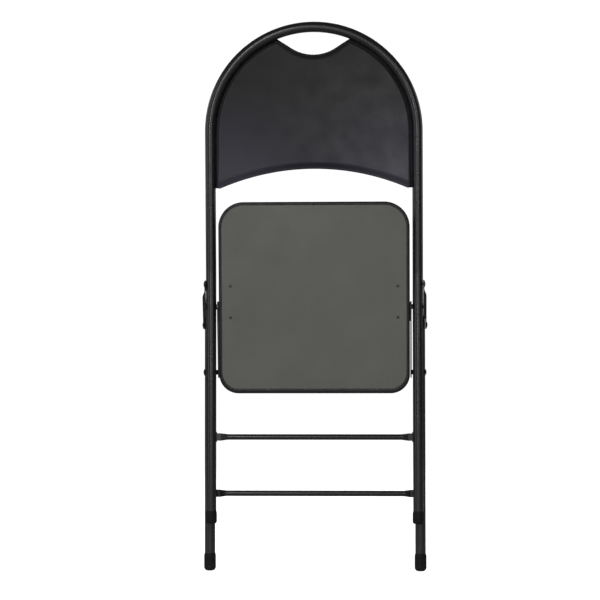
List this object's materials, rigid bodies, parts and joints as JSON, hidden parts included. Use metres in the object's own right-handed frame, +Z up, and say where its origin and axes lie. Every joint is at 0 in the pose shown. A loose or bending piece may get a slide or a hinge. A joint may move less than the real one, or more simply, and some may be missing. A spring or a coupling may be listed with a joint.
{
  "type": "folding chair",
  "caption": "Folding chair, folded: round-topped black tube frame, moulded back with hand slot, padded seat, rear legs joined by side links.",
  "frame": {"origin": "bottom centre of the folded chair's box, on the floor that its rear feet stand on", "axes": "+Z up along the folded chair, -Y the sitter's side, +X to the right as seen from the sitter's side"},
  "size_m": [0.4772, 0.0928, 1.1538],
  "materials": {
    "frame_paint": "semi-gloss black enamel",
    "dark_steel": "semi-gloss black",
    "cap_plastic": "matt black",
    "back_plastic": "satin charcoal",
    "board_grey": "matt grey",
    "seat_vinyl": "grained black vinyl"
  },
  "bodies": {
    "front_frame": {"front_leg_left": "frame_paint", "front_leg_right": "frame_paint", "back_arch": "frame_paint", "front_crossbar": "frame_paint", "front_foot_cap_left": "cap_plastic", "front_foot_cap_right": "cap_plastic", "back_panel": "back_plastic", "hand_slot_rim": "back_plastic", "back_panel_screws": "dark_steel", "link_top_rivet_left": "dark_steel", "link_top_rivet_right": "dark_steel"},
    "seat": {"seat_board": "board_grey", "seat_cushion": "seat_vinyl", "seat_edge_band": "seat_vinyl", "seat_bracket_left": "frame_paint", "seat_bracket_right": "frame_paint", "seat_bracket_screws": "dark_steel", "seat_pin_left": "dark_steel", "seat_pin_right": "dark_steel", "seat_spacer_left": "cap_plastic", "seat_spacer_right": "cap_plastic", "rear_pin_left": "dark_steel", "rear_pin_right": "dark_steel", "rear_spacer_left": "cap_plastic", "rear_spacer_right": "cap_plastic"},
    "rear_legs": {"rear_leg_left": "frame_paint", "rear_leg_right": "frame_paint", "rear_crossbar": "frame_paint", "rear_foot_cap_left": "cap_plastic", "rear_foot_cap_right": "cap_plastic", "rear_leg_plug_left": "cap_plastic", "rear_leg_plug_right": "cap_plastic"},
    "left_link": {"hinge_link_left": "frame_paint", "link_lower_rivet_left": "dark_steel"},
    "right_link": {"hinge_link_right": "frame_paint", "link_lower_rivet_right": "dark_steel"}
  },
  "joints": [
    {"name": "seat_fold", "type": "hinge", "parent": "front_frame", "child": "seat", "pos_m": [0, 0.00354, 0.557], "axis": [1, 0, 0], "range_deg": [0, 103]},
    {"name": "rear_fold", "type": "hinge", "parent": "seat", "child": "rear_legs", "pos_m": [0, 0.02754, 0.419], "axis": [1, 0, 0], "range_deg": [-54, 0.5]},
    {"name": "left_link_turn", "type": "hinge", "parent": "front_frame", "child": "left_link", "pos_m": [-0.23, 0.00354, 0.6045], "axis": [1, 0, 0], "range_deg": [-0.5, 129]},
    {"name": "right_link_turn", "type": "hinge", "parent": "front_frame", "child": "right_link", "pos_m": [0.23, 0.00354, 0.6045], "axis": [1, 0, 0], "range_deg": [-0.5, 129]}
  ],
  "couplings": [
    {"joint": "rear_fold", "follows": "seat_fold", "ratio": -0.51657},
    {"joint": "left_link_turn", "follows": "seat_fold", "ratio": 1.242},
    {"joint": "right_link_turn", "follows": "seat_fold", "ratio": 1.242}
  ]
}
